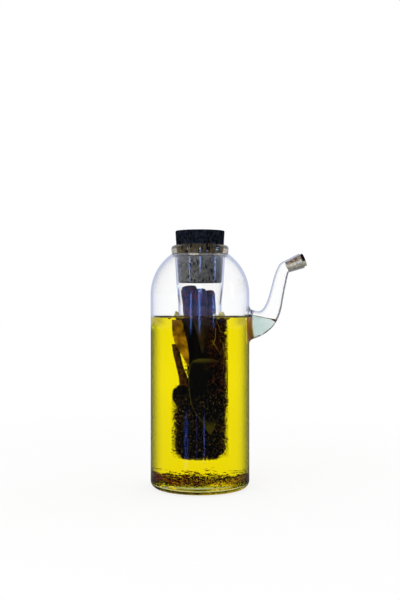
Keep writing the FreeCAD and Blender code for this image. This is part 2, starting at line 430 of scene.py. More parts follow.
def kept_inside(verts, bore, floor, corner):
    """Points drawn in from a round glass wall and up from its floor, where they would cut it."""
    kept = []
    for point in verts:
        height = max(point.z, floor + 0.05)
        drop = min(corner, max(0.0, floor + corner - height))
        room = bore - 0.1 - corner + sqrt(corner**2 - drop**2)
        pull = min(1.0, room / max(hypot(point.x, point.y), 0.001))
        kept.append(Vector((point.x * pull, point.y * pull, height)))
    return kept


def around_axis(radius, degrees, height):
    """A point in the bottle: degrees from the side that faces the camera, towards the spout."""
    angle = radians(degrees)
    return Vector((radius * sin(angle), -radius * cos(angle), height))


class Heap:
    """Many small parts that make one piece, placed by seeded random numbers."""

    def __init__(self, rng, verts=(), faces=()):
        self.rng = rng
        self.verts = list(verts)
        self.faces = list(faces)

    def join(self, shape):
        """Adds a shape's vertices and faces."""
        start = len(self.verts)
        self.verts += shape[0]
        self.faces += [tuple(start + i for i in face) for face in shape[1]]

    def wander(self):
        """A random direction."""
        return Vector([self.rng.gauss(0, 1) for _ in range(3)]).normalized()

    def grain(self, centre, along, length, width, thick):
        """Adds one crumb or leaflet: a long flat eight-sided grain, a little bent."""
        rng = self.rng
        along = along.normalized()
        side = along.orthogonal().normalized()
        side = (Matrix.Rotation(rng.uniform(0, tau), 3, along) @ side).normalized()
        flat = along.cross(side)
        bend = flat * rng.uniform(-0.2, 0.2) * length
        middle = centre + bend + along * rng.uniform(-0.15, 0.15) * length
        start = len(self.verts)
        half, wide, high = along * length / 2, side * width / 2, flat * thick / 2
        self.verts += [centre - half, centre + half]
        self.verts += [middle + wide, middle + high, middle - wide, middle - high]
        for i in range(4):
            a, b = start + 2 + i, start + 2 + (i + 1) % 4
            self.faces += [(start, b, a), (start + 1, a, b)]

    def twig(self, points, radius, steps=5, around=4):
        """Adds one thin twig along a curve."""
        self.join(limb(points, ((0.0, radius), (1.0, radius * 0.6)), steps, around))

    def piece(self, name, material, room=None):
        """Makes the piece, kept inside a glass room of (bore, floor, corner)."""
        verts = kept_inside(self.verts, *room) if room else self.verts
        add_piece(name, (verts, self.faces), material, smooth=False)


# ---- materials


def new_material(name, roughness, mirrored=0.0):
    """A material with its node tree and its Principled shader's inputs."""
    material = bpy.data.materials.new(name)
    tree = Tree(material)
    shader = tree.nodes["Principled BSDF"].inputs
    shader["Roughness"].default_value = roughness
    shader["Specular IOR Level"].default_value = mirrored
    return material, tree, shader


def clear_material(name, shade, absorbed=None, density=0.0):
    """Glass or liquid that bends light, darkens with depth, and lets the lamps' light through unbent.

    The last value returned is the share of the surface that touches another liquid or glass, where a ray
    goes straight on and nothing is mirrored.
    """
    material, tree, shader = new_material(name, 0.0, 0.5)
    shader["Transmission Weight"].default_value = 1.0
    shader["IOR"].default_value = GLASS_INDEX
    straight = tree.add("BsdfRefraction", {"Roughness": 0.0, "IOR": 1.0})
    bent = tree.nodes["Principled BSDF"].outputs["BSDF"]
    wet = tree.add("MixShader", {0: 0.0, 1: bent, 2: straight.outputs["BSDF"]})
    unbent = tree.add("BsdfTransparent", {"Color": shade})
    lamp_ray = tree.add("LightPath").outputs["Is Shadow Ray"]
    whole = tree.add("MixShader", {0: lamp_ray, 1: wet.outputs["Shader"], 2: unbent.outputs["BSDF"]})
    output = tree.nodes["Material Output"]
    tree.join(whole.outputs["Shader"], output.inputs["Surface"])
    if absorbed:
        depth = tree.add("VolumeAbsorption", {"Color": absorbed, "Density": density})
        tree.join(depth.outputs["Volume"], output.inputs["Volume"])
    return material, tree, shader, wet.inputs["Fac"]


def spout_inside(tree, axes):
    """1 on the spout's inner wall below its liquid's level, 0 elsewhere."""
    surface = tree.surface()
    x, z = SPOUT_STATIONS[0][:2]
    away = tree.vector("SUBTRACT", surface["Position"], (x * MM, 0, z * MM))
    along = upward(SPOUT_LEAN)
    reach = tree.dot(away, along)
    slant = tree.times(reach, tree.dot(surface["True Normal"], along))
    outward = tree.math("SUBTRACT", tree.dot(away, surface["True Normal"]), slant)
    # Cycles turns the normal towards the ray, so it is turned back where a ray comes from within.
    turned = tree.math("MULTIPLY_ADD", surface["Backfacing"], -2.0, 1.0)
    inner = tree.math("LESS_THAN", tree.times(outward, turned), 0.0)
    squares = tree.math("SUBTRACT", tree.dot(away, away), tree.times(reach, reach))
    near = tree.math("LESS_THAN", squares, (SPOUT_FOOT * MM) ** 2)
    beyond = tree.math("GREATER_THAN", axes["X"], (BORE - 0.5) * MM)
    height = tree.dot(surface["Position"], SPOUT_UP)
    under = tree.math("LESS_THAN", height, SPOUT_LEVEL.dot(SPOUT_UP) * MM)
    return tree.times(inner, near, beyond, under)


def glass_material():
    """Clear glass: painted shade makes it faintly lavender where it's seen edge-on and dark there where oil
    lies behind it; painted shade at the oil's corners and the spout's root, the cork painted into the rim
    bead and the oil into the base, and a painted shadow at its foot.
    """
    material, tree, shader, wet_share = clear_material("clear_glass", GLASS_SHADE)
    _, axes, radius = tree.place()
    across, height = axes["X"], axes["Z"]
    in_oil = tree.fall(height, OIL_Z - 0.3, OIL_Z + 0.3)
    outside = tree.times(tree.rise(radius, 36.6, 37.0), tree.fall(radius, 37.9, 38.6))
    touching = tree.times(tree.fall(radius, 36.3, 36.6), in_oil, tree.rise(height, 2.5, 3.0))
    tree.join(tree.math("MAXIMUM", touching, spout_inside(tree, axes)), wet_share)
    edge = tree.add("LayerWeight", {"Blend": 0.5}).outputs["Facing"]
    # painted shade on the glass's edges, lavender in the air and dark against the oil
    tint = tree.mix(tree.times(in_oil, outside), tree.ramp(edge, DRY_EDGE_SHADE), tree.ramp(edge, WET_EDGE_SHADE))
    # painted shade at both sides of the body just under the oil's surface
    sideways = tree.rise(tree.math("ABSOLUTE", across), 23.0, 31.0)
    corner = tree.times(tree.rise(height, OIL_Z - 8.0, OIL_Z - 3.0), sideways, in_oil, outside)
    # painted shade: amber over the spout's root
    root = tree.times(
        tree.rise(across, 34.0, 35.0),
        tree.fall(across, 39.0, 40.5),
        tree.fall(height, 128.6, 129.4),
        tree.rise(height, 108, 112),
    )
    # painted shade: brown over the thickest glass and oil of the spout's root
    root_edge_shade = tree.times(root, tree.rise(across, 34.6, 35.8), tree.fall(across, 38.6, 39.6))
    for share, colour in (
        (corner, CORNER_SHADE),
        (root, ROOT_SHADE_TINT),
        (root_edge_shade, ROOT_EDGE_SHADE),
        # painted refraction of the cork in the rim bead
        (tree.rise(height, RIM_Z - 7.5, RIM_Z - 5.5), BEAD_REFRACTED_CORK),
        # painted reflection of the oil in the base
        (tree.fall(height, 3.0, 6.0), BASE_REFLECTED_OIL),
        # painted shadow along the foot
        (tree.fall(height, 1.6, 2.8), FOOT_SHADOW),
    ):
        tint = tree.mix(share, tint, colour)
    tree.join(tint, shader["Base Color"])
    # where the root's painted shade lies, the glass lets less through and shows its colour
    tree.join(tree.math("MULTIPLY_ADD", root_edge_shade, -0.8, 1.0), shader["Transmission Weight"])
    shader["Specular Tint"].default_value = (*GLASS_SHINE, 1)
    return material


def oil_material(name, absorbed, density):
    """Oil whose walls let a ray go straight on and whose top bends and mirrors it."""
    material, tree, _, wet_share = clear_material(name, OIL_SHADE, absorbed, density)
    level = tree.math("ABSOLUTE", tree.split(tree.surface()["Normal"])["Z"])
    high = tree.math("GREATER_THAN", tree.place()[1]["Z"], (OIL_Z - 2.5) * MM)
    top = tree.times(tree.math("GREATER_THAN", level, 0.45), high)
    tree.join(tree.math("SUBTRACT", 1.0, top), wet_share)
    return material


def speckled(name, stops, scale, roughness, bump=0.0003):
    """A matt dried material whose colour follows noise through a ramp."""
    material, tree, shader = new_material(name, roughness)
    place = tree.place()[0]
    tree.join(tree.ramp(tree.noise(place, scale), stops), shader["Base Color"])
    tree.bump(shader, tree.noise(place, scale * 2.5), 0.6, bump)
    return material


def head_cork_material():
    """Pressed cork with grains and dark pits: nearly black above the glass's rim as painted shade, and
    grey-tan below it as painted light that comes through the glass.
    """
    # painted shade: the cork's bluish black tones above the rim
    upper = ((0.007, 0.010, 0.020), (0.024, 0.030, 0.046))
    # painted light: its tones below the rim, where light comes through the glass
    lower = ((0.10, 0.095, 0.066), (0.20, 0.19, 0.145))
    material, tree, shader = new_material("cork_shaded_head", 0.85)
    place, axes, _ = tree.place()
    grains = tree.noise(place, 420, 6)
    pits = tree.noise(tree.vector("MULTIPLY", place, (1, 1, 0.45)), 620, 1)
    # the painted shade above the rim and the painted light below it meet here
    above = tree.rise(axes["Z"], RIM_Z - 1.5, RIM_Z + 1.5)
    dark, bright = (tree.mix(above, *tones) for tones in zip(lower, upper))
    tone = tree.mix(tree.ease(grains, 0.35, 0.68), dark, bright)
    pitted = tree.ease(pits, 0.60, 0.63)
    tree.join(tree.mix(pitted, tone, (0.006, 0.005, 0.005)), shader["Base Color"])
    tree.bump(shader, tree.math("SUBTRACT", grains, pitted), 0.7, 0.0006)
    return material


def plug_material(along, far_end):
    """Small cork: brown above, cream below as painted light from beneath, nearly black at its outer end as
    painted shade (millimetres along its axis).
    """
    material, tree, shader = new_material("cork_small", 0.85)
    place = tree.place()[0]
    facing = tree.split(tree.surface()["Normal"])["Z"]
    grains = tree.noise(place, 380, 4)
    brown = ((0.35, (0.06, 0.042, 0.026)), (0.5, (0.24, 0.17, 0.10)), (0.66, (0.42, 0.33, 0.21)))
    # painted light: cream on the underside
    cream = ((0.3, (0.72, 0.60, 0.36)), (0.5, (1.0, 0.95, 0.74)))
    lower = tree.ease(facing, 0.0, 0.3, 1, 0)
    tone = tree.mix(lower, tree.ramp(grains, brown), tree.ramp(grains, cream))
    # painted shade: nearly black over the upper side of the outer end
    end = tree.rise(tree.dot(place, along), far_end - 2.9, far_end - 2.5)
    head = tree.times(end, tree.ease(facing, -0.35, -0.1))
    tree.join(tree.mix(head, tone, (0.012, 0.01, 0.012)), shader["Base Color"])
    tree.bump(shader, grains, 0.4, 0.0003)
    return material


def leaf_material():
    """A bay leaf, nearly black as painted shade, paler olive along its margin and at its ends as painted
    light that shines through there.
    """
    material, tree, shader = new_material("bay_leaf", 0.5)
    place = tree.place()[0]
    leaf = tree.split(tree.add("UVMap").outputs["UV"])
    cloud = tree.noise(place, 260, 5)
    # painted light: the pale margin, tip and top, where light would shine through the leaf
    margin = tree.ease(tree.math("ADD", leaf["X"], tree.times(cloud, 0.16)), 0.98, 1.1)
    tip = tree.ease(tree.math("ADD", leaf["Y"], tree.times(cloud, -0.1)), 0.02, 0.16, 1, 0)
    top = tree.ease(leaf["Y"], 0.93, 0.98)
    pale = tree.math("MAXIMUM", margin, tree.math("MAXIMUM", tip, top))
    # painted shade: the leaf's near-black tones
    tones = ((0.3, (0.001, 0.001, 0.001)), (0.55, (0.002, 0.002, 0.0015)), (0.75, (0.006, 0.005, 0.002)))
    tree.join(tree.mix(pale, tree.ramp(cloud, tones), (0.09, 0.083, 0.022)), shader["Base Color"])
    tree.bump(shader, tree.noise(place, 1500, 2), 0.4, 0.0002)
    return material


def pod_material():
    """A dried chili's skin: dark red, blue-black above the oil as a painted blue reflection, creased and a
    little glossy, brown in the oil.
    """
    material, tree, shader = new_material("dried_chili", 0.38, 0.15)
    place, axes, _ = tree.place()
    cloud = tree.noise(place, 190, 5)
    # painted reflection: the blue in the tones above the oil; the dark red is the skin's own
    in_air = ((0.34, (0.008, 0.009, 0.04)), (0.5, (0.03, 0.022, 0.11)), (0.62, (0.11, 0.018, 0.05)))
    in_oil = ((0.3, (0.008, 0.006, 0.004)), (0.55, (0.04, 0.026, 0.010)), (0.75, (0.08, 0.02, 0.010)))
    under = tree.fall(axes["Z"], OIL_Z - 4, OIL_Z)
    tone = tree.mix(under, tree.ramp(cloud, in_air), tree.ramp(cloud, in_oil))
    tree.join(tone, shader["Base Color"])
    tree.bump(shader, tree.noise(place, 700, 3), 0.5, 0.0003)
    return material


# ---- liquids


def surface_height(distance):
    """How much higher the oil stands at a distance from a glass wall."""
    return MENISCUS * exp(-max(distance, 0) / MENISCUS)


def cup(outer, bottom, corner, steps, arc_steps):
    """The floor and rounded corner of a liquid's half section, from the inside out."""
    profile = [((outer - corner) * step / steps, bottom) for step in range(1, steps)]
    return profile + arc((outer - corner, bottom + corner), corner, -90, 0, arc_steps)


def body_oil(material):
    """The oil between the body and the herb tube."""
    outer = BORE + SEEP
    inner = TUBE_OUTSIDE - SEEP
    profile = cup(outer, FLOOR_Z - SEEP, FLOOR_CORNER + SEEP, 6, 10)
    profile += [(outer, 20 + step * 20) for step in range(5)]
    steps = 40
    for step in range(steps + 1):
        share = 0.5 - 0.5 * cos(pi * step / steps)
        radius = outer + (inner - outer) * share
        rise = surface_height(BORE - radius) + surface_height(radius - TUBE_OUTSIDE)
        profile.append((radius, OIL_Z + rise))
    profile += [(inner, 105 - step * 20) for step in range(4)]
    curve = TUBE_CORNER - SEEP
    roof = TUBE_BOTTOM + SEEP
    profile += arc((inner - curve, roof + curve), curve, 0, -90, 10)
    profile += [((inner - curve) * (1 - step / 4), roof) for step in range(1, 4)]
    piece = add_piece("oil_body", revolved(profile, 192), material)
    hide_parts("oil_outer")


def tube_oil(material):
    """The oil in the herb tube."""
    outer = TUBE_BORE + SEEP
    profile = cup(outer, TUBE_FLOOR - SEEP, INNER_CORNER + SEEP, 4, 8)
    profile += [(outer, 35 + step * 20) for step in range(5)]
    steps = 30
    for step in range(steps):
        radius = outer * cos(pi / 2 * step / steps)
        profile.append((radius, OIL_Z + surface_height(TUBE_BORE - radius)))
    piece = add_piece("oil_tube", revolved(profile, 144), material)
    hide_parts("oil_inner")


def upward(angle):
    """The direction that rises at an angle towards the spout."""
    return Vector((cos(angle), 0, sin(angle)))


def spout_frame(position):
    """Centre, direction and outer radius along the spout, position counting its stations."""
    index = min(int(position), len(SPOUT_STATIONS) - 2)
    share = position - index
    x0, z0, angle0, radius0 = SPOUT_STATIONS[index]
    x1, z1, angle1, radius1 = SPOUT_STATIONS[index + 1]
    start, end = Vector((x0, 0, z0)), Vector((x1, 0, z1))
    span = (end - start).length
    leaving, arriving = (upward(radians(angle)) * span for angle in (angle0, angle1))
    s2, s3 = share**2, share**3
    centre = (
        (2 * s3 - 3 * s2 + 1) * start
        + (s3 - 2 * s2 + share) * leaving
        + (3 * s2 - 2 * s3) * end
        + (s3 - s2) * arriving
    )
    direction = upward(radians(angle0 + (angle1 - angle0) * share))
    return centre, direction, radius0 + (radius1 - radius0) * share


def spout_ring(points):
    """A brown ring round the top of the spout's liquid, from that outline's points."""
    middle = sum((Vector(p) for p in points), Vector()) / len(points)
    outline = sorted((Vector(p) for p in points), key=lambda p: atan2(p.y, p.x - middle.x))
    verts, faces = [], []
    for point in outline:
        inward = (middle - point).normalized()
        for reach, rise in ((0.05, -0.35), (0.05, 0.12), (0.75, 0.12), (0.75, -0.35)):
            verts.append(point + inward * reach + Vector((0, 0, rise)))
    count = len(outline)
    for i in range(count):
        a, b = 4 * i, 4 * ((i + 1) % count)
        for j in range(4):
            k = (j + 1) % 4
            faces.append((a + j, b + j, b + k, a + k))
    tones = ((0.3, (0.10, 0.05, 0.015)), (0.6, (0.34, 0.20, 0.08)), (0.8, (0.5, 0.36, 0.2)))
    add_piece("oil_ring", (verts, faces), speckled("oil_ring", tones, 300, 0.4))


def spout_crumbs():
    """A few red crumbs that lie in the spout's liquid."""
    rng = random.Random(29)
    heap = Heap(rng)
    for _ in range(60):
        x = rng.gauss(43.0, 1.3)
        y = rng.uniform(-2.5, 2.5)
        height = 116.0 + 0.45 * (x - 43) + 0.06 * y * y + abs(rng.gauss(0, 0.35))
        heap.grain(Vector((x, y, height)), heap.wander(), rng.uniform(0.5, 1.3), 0.5, 0.3)
    tones = ((0.3, (0.03, 0.008, 0.006)), (0.6, (0.16, 0.04, 0.03)))
    heap.piece("spout_crumbs", speckled("spout_crumbs", tones, 600, 0.6))


def spout_oil(material):
    """The paler oil in the spout, up to its own slanting surface."""
    wall = SPOUT_WALL - SEEP
    segments = 64
    x, z, _, outer = SPOUT_STATIONS[0]
    outwards = Vector((1, 0, 0.07)).normalized()
    root = ((-1.9, 2.2), (-1.0, 1.2), (0.0, 0.4))  # shift along X and widening at the body's wall
    rings = [(Vector((x + shift, 0, z)), outwards, outer - wall + flare) for shift, flare in root]
    steps = 36
    for step in range(3, steps + 1):
        centre, direction, radius = spout_frame(4 * step / steps)
        rings.append((centre, direction, radius - wall))
    shape = bmesh.new()
    loops = []
    for number, (centre, direction, radius) in enumerate(rings):
        up = Vector((-direction.z, 0, direction.x))
        loop = []
        for angle in turns(segments):
            point = centre + radius * (sin(angle) * up + cos(angle) * Vector((0, 1, 0)))
            if number < len(root):
                reach = BORE - 0.2 + 0.9 * number
                point.x = sqrt(max(reach**2 - point.y**2, 0))
            loop.append(shape.verts.new(point * MM))
        loops.append(loop)
    for first, second in zip(loops, loops[1:]):
        for segment in range(segments):
            after = (segment + 1) % segments
            shape.faces.new((first[segment], first[after], second[after], second[segment]))
    shape.faces.new(list(reversed(loops[0])))
    shape.faces.new(loops[-1])
    bmesh.ops.recalc_face_normals(shape, faces=shape.faces)
    everything = shape.verts[:] + shape.edges[:] + shape.faces[:]
    cut = bmesh.ops.bisect_plane(
        shape, geom=everything, plane_co=SPOUT_LEVEL * MM, plane_no=SPOUT_UP, clear_outer=True
    )
    rim = [e for e in cut["geom_cut"] if isinstance(e, bmesh.types.BMEdge)]
    spout_ring({tuple(v.co / MM) for e in rim for v in e.verts})
    spout_crumbs()
    bmesh.ops.contextual_create(shape, geom=rim)
    bmesh.ops.triangulate(shape, faces=[f for f in shape.faces if len(f.verts) > 4])
    bmesh.ops.recalc_face_normals(shape, faces=shape.faces)
    mesh = bpy.data.meshes.new("oil_spout")
    shape.to_mesh(mesh)
    shape.free()
    piece = place_piece(mesh, material, crease=35)
    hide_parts("oil_outer")


def oil_drops():
    """Drops that cling to the tube's outside where the oil's surface meets it, opaque and mostly pale cream
    as painted highlights.
    """
    drops = Heap(None)
    for x, y, rise, wide, tall in (
        (-17.7, -6.4, 1.6, 1.8, 2.9),
        (16.2, -10.6, 1.4, 2.4, 2.9),
        (11.0, -15.0, 0.9, 1.6, 2.0),
    ):
        centre = Vector((x, y, rise)) + Vector((0, 0, OIL_Z))
        reach = Vector((wide, wide * 0.7, tall))

        def lump(unit):
            return 1 + 0.14 * noise(unit * 1.6 + centre)

        drops.join(lumpy_ball(centre, reach, 24, 36, lump))
    # painted highlights: opaque tones up to pale cream for the drops' glints
    tones = ((0.35, (0.30, 0.22, 0.05)), (0.5, (0.75, 0.66, 0.25)), (0.62, (0.95, 0.93, 0.75)))
    add_piece("oil_drops", (drops.verts, drops.faces), speckled("oil_drops", tones, 420, 0.3))


# ---- corks


def cork_stopper():
    """The large cork: a tapered stopper with pits and crumbled spots."""
    low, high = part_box("cork_large")
    bottom, top = low[2] / MM, high[2] / MM
    rng = random.Random(3)
    taper = 0.0582
    edge = 0.8  # rounding between its side and its ends
    top_radius = high[0] / MM - 0.7 * taper
    angles = turns(220)
    rows, end_rows, corner_steps = 78, 22, 4
    spans = ((0, tau), (bottom, top), (0.35, 0.9), (0.3, 0.8))  # angle, height, width and depth of a pit
    pits = [[rng.uniform(*span) for span in spans] for _ in range(150)]

    def side_ring(height, inset):
        radius = top_radius - taper * (top - height) - 0.05 - inset
        ring = []
        for angle in angles:
            point = Vector((radius * cos(angle), radius * sin(angle), height))
            sunk = 0.12 * max(0, noise(point * 0.9)) + 0.10 * max(0, noise(point * 0.35))
            for pit_angle, pit_z, width, depth in pits:
                across = (angle - pit_angle + pi) % tau - pi
                gap = hypot(across * radius, (height - pit_z) * 0.5) / width
                if gap < 1:
                    sunk = max(sunk, depth * (1 - gap * gap))
            ring.append(point * ((radius - sunk) / radius) + Vector((0, 0, height * sunk / radius)))
        return ring

    def end_rings(height, direction):
        flat = []
        for step in range(1, end_rows):
            radius = (top_radius - taper * (top - height) - edge) * (1 - step / end_rows)
            ring = []
            for angle in angles:
                point = Vector((radius * cos(angle), radius * sin(angle), height))
                sunk = 0.25 * max(0, noise(point * 0.7)) + 0.35 * max(0, noise(point * 1.7) - 0.25)
                ring.append(point - Vector((0, 0, direction * sunk)))
            flat.append(ring)
        return flat

    rings = list(reversed(end_rings(bottom, -1)))
    rounding = [pi / 2 * step / corner_steps for step in range(corner_steps + 1)]
    rings += [side_ring(bottom + edge * (1 - cos(a)), edge * (1 - sin(a))) for a in rounding]
    for row in range(rows + 1):
        height = bottom + (top - bottom) * row / rows
        if bottom + edge + 0.3 < height < top - edge - 0.3:
            rings.append(side_ring(height, 0))
    rings += [side_ring(top - edge * (1 - sin(a)), edge * (1 - cos(a))) for a in rounding]
    rings += end_rings(top, 1)
    piece = add_piece("cork_stopper", skin(rings), head_cork_material())
    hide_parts("cork_large")


def cork_plug():
    """The small cork in the spout's tip, along the tip's axis."""
    along = upward(TIP_ANGLE)
    up = Vector((-along.z, 0, along.x))
    side = Vector((0, 1, 0))
    length = TIP_LENGTH + PLUG_HEAD
    outline = [(0.0, share) for share in (0.25, 0.5, 0.75, 0.92)] + [(0.15, 0.98)]
    outline += [(0.4 + (length - 0.8) * step / 30, 1.0) for step in range(31)]
    outline += [(length - 0.12, 0.97)] + [(length, share) for share in (0.9, 0.75, 0.5, 0.25)]
    rings = []
    for distance, share in outline:
        widened = (PLUG_MOUTH_RADIUS - PLUG_START_RADIUS) * distance / TIP_LENGTH
        radius = (PLUG_START_RADIUS + widened - 0.04) * share
        ring = []
        for angle in turns(96):
            out = cos(angle) * side + sin(angle) * up
            point = TIP_START + distance * along + radius * out
            chip = noise(point * 0.8 + Vector((7, 3, 1))) - 0.33
            sunk = 0.12 * max(0, noise(point * 1.4)) + 0.5 * max(0, chip)
            end_sunk = 0.3 * max(0, noise(point * 1.2)) if distance == length else 0
            ring.append(point - out * sunk * share - along * end_sunk)
        rings.append(ring)
    material = plug_material(along, TIP_START.dot(along) + length)
    piece = add_piece("cork_plug", skin(rings), material)
    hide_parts("cork_small")


# ---- chilies and leaves


def chili_pod(name, node, top, tip, radius, seed, material):
    """A dried chili: creased lengthwise, blunt at the top, drawn out to its tip."""
    top, tip = Vector(top), Vector(tip)
    length = (top - tip).length
    along = (top - tip) / length
    side = along.orthogonal().normalized()
    other = along.cross(side)
    shift = Vector((seed * 11.3, seed * 5.7, seed * 3.1))
    rows = 90
    outline = ((0, 0), (0.02, 0.12), (0.25, 0.48), (0.5, 0.9), (0.64, 1), (0.92, 1), (0.975, 0.78), (1, 0))

    def lump(angle, turned, lengthwise):
        return noise(Vector((turned * cos(angle), turned * sin(angle), lengthwise)) + shift)

    rings = []
    for row in range(1, rows):
        share = 0.5 - 0.5 * cos(pi * row / rows)
        for (s0, r0), (s1, r1) in zip(outline, outline[1:]):
            if s0 <= share <= s1:
                ease = (share - s0) / (s1 - s0)
                width = r0 + (r1 - r0) * (sqrt(max(0, 1 - (1 - ease) ** 2)) if s0 == 0 else ease)
                if s1 == 1.0:
                    width = r0 * sqrt(max(0, 1 - ease**2))
        ring = []
        for angle in turns(72):
            out = cos(angle) * side + sin(angle) * other
            crease = lump(angle, 2.4, share * 3.5)
            fine = lump(angle, 5.5, share * 9)
            swell = lump(angle, 1.1, share * 7.0)
            dent = 0.97 - 0.16 * max(0, crease + 0.1) - 0.09 * max(0, fine) + 0.09 * swell
            ring.append(tip + share * length * along + out * radius * width * dent)
        rings.append(ring)
    piece = add_piece(name, skin(rings), material)
    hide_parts(node)


def bay_leaf(material):
    """A broad bay leaf curled against the front of the herb tube, tip down."""
    stations = (  # height, degrees of its middle, half its width in degrees
        (42.3, 27, 0.6),
        (45.3, 26, 9),
        (50.6, 26, 19),
        (55.2, 25, 28),
        (59.8, 23.5, 39),
        (65.9, 24, 48),
        (77.3, 23, 53),
        (87.2, 23, 53),
        (93.0, 22, 49),
        (96.8, 16, 36),
        (98.6, 10, 14),
    )
    rows, columns = 90, 40
    front, back = [], []
    for row in range(rows + 1):
        height = stations[0][0] + (stations[-1][0] - stations[0][0]) * row / rows
        middle, half = between(stations, height)
        half *= 1 + 0.02 * noise(Vector((height * 0.4, 0, 0)))
        for column in range(columns + 1):
            t = 2 * column / columns - 1
            wave = 0.18 * noise(Vector((t * 2.2, height * 0.09, 4.0)))
            vein = 0.28 * exp(-((t / 0.045) ** 2)) * min(1, (height - 42) / 12)
            rib = 0.07 * (0.5 + 0.5 * cos((height * 0.9 - abs(t) * 7.0))) ** 4 * (1 - abs(t))
            radius = 13.75 + wave + vein + rib - 0.3 * (1 - abs(t)) ** 2
            thick = 0.35 + 0.25 * exp(-((t / 0.06) ** 2))
            front.append(around_axis(radius, middle + t * half, height))
            back.append(around_axis(radius - thick, middle + t * half, height))
    piece = add_piece("bay_leaf", two_sided(front, back, rows, columns), material)
    layer = piece.data.uv_layers.new(name="UVMap")
    for loop in piece.data.loops:
        row, column = divmod(loop.vertex_index % len(front), columns + 1)
        layer.data[loop.index].uv = (abs(2 * column / columns - 1), row / rows)


def curled_leaf(material):
    """A tan dry leaf curled lengthwise, from the oil's surface down the left of the tube."""
    line = ((-12, -1, 127.2), (-11, -2, 117.6), (-9.2, -3.2, 108.5), (-7.5, -4, 100.5), (-6.2, -4.6, 92.6))
    rows, columns = 60, 16
    front, back = [], []
    across = Vector((0.93, -0.36, 0)).normalized()
    for row, (place, along) in enumerate(smooth_path(line, rows)):
        share = row / rows
        width = 3.7 * min(1, (1 - share) / 0.55) ** 0.8 * (0.75 + 0.25 * min(1, share / 0.12)) + 0.12
        out = along.cross(across).normalized()
        if out.y > 0:
            out = -out
        for column in range(columns + 1):
            t = 2 * column / columns - 1
            wave = 0.35 * noise(Vector((t * 1.7, share * 6, 2.2)))
            curl = 1.35 * width * (0.35 * t * t + 0.25 * max(0, t) ** 3) + wave
            crimp = 0.18 * noise(Vector((t * 5, share * 22, 9)))
            ragged = 1 + 0.10 * noise(Vector((share * 18, 5 * round(t), 1.0)))
            point = place + across * width * t * ragged + out * (curl + crimp)
            point = kept_inside([point], *TUBE_ROOM)[0]
            front.append(point)
            back.append(point - out * 0.28)
    verts, faces = two_sided(front, back, rows, columns)
    add_piece("curled_leaf", (verts, [face[::-1] for face in faces]), material)


def stem(material):
    """A cut brown stem that leans into the seed head."""
    line = ((-12.6, 2.4, 108.9), (-11.8, 2.0, 101), (-10.4, 1.0, 92), (-8.6, 0.2, 83), (-8.2, 0, 76))
    shape = limb(line, ((0.0, 1.75), (0.5, 1.8), (1.0, 2.5)), 60, 28, 0.35, 0.9)
    add_piece("herb_stem", shape, material)


def seed_head(material):
    """A dark bristly seed head against the left of the tube."""
    middle, reach = Vector((-8.9, -0.6, 70.2)), Vector((5.3, 6.2, 7.8))

    def lump(unit):
        return 1 + 0.16 * noise(unit * 2.6) + 0.12 * noise(unit * 6)

    rng = random.Random(17)
    heap = Heap(rng, *lumpy_ball(middle, reach, 48, 64, lump))
    for _ in range(900):
        unit = heap.wander()
        root = middle + unit * reach * 0.93
        tip = root + (unit + 0.5 * heap.wander()) * rng.uniform(0.8, 2.0)
        if hypot(tip.x, tip.y) < 14.9 and hypot(root.x, root.y) < 14.9:
            heap.twig([root, (root + tip) / 2, tip], rng.uniform(0.06, 0.14))
    add_piece("seed_head", (heap.verts, heap.faces), material)


# ---- herbs


def herb_core(material):
    """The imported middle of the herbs, uneven, which the loose ones cover."""
    rings = []
    rows = 150
    for row in range(rows + 1):
        height = CORE[0][0] + (CORE[-1][0] - CORE[0][0]) * row / rows
        x, y, radius = between(CORE, height)
        ring = []
        for angle in turns(96):
            out = Vector((cos(angle), sin(angle), 0))
            point = Vector((x, y, height)) + radius * out
            ring.append(point + out * (1.0 * noise(point * 0.32) + 0.6 * noise(point * 0.9) - 0.3))
        rings.append(ring)
    piece = add_piece("herb_core", skin(rings), material)
    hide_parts("herb_bundle")


def dark_leaflets(material):
    """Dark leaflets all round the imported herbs, which leave the bay leaf's place free."""
    rng = random.Random(11)
    heap = Heap(rng)
    for _ in range(15000):
        height = rng.uniform(23.2, 68) if rng.random() < 0.72 else rng.uniform(60, 125)
        x, y, radius = between(CORE, height)
        degrees = rng.uniform(0, 360)
        reach = radius - 0.8 + abs(rng.gauss(0, 1)) * (1.2 if height < 66 else 1.1)
        centre = Vector((x, y, height)) + around_axis(reach, degrees, 0)
        away = hypot(centre.x, centre.y)
        if away > 14.7 or centre.z < 23.0 + max(0, away - 10.5):
            continue
        if 60 < height < 98 and centre.y < -9.5 and abs(centre.x - 6) < 12:
            continue
        length = rng.uniform(0.9, 2.6)
        heap.grain(centre, heap.wander(), length, length * rng.uniform(0.2, 0.5), 0.22)
    heap.piece("herb_leaflets", material, TUBE_ROOM)


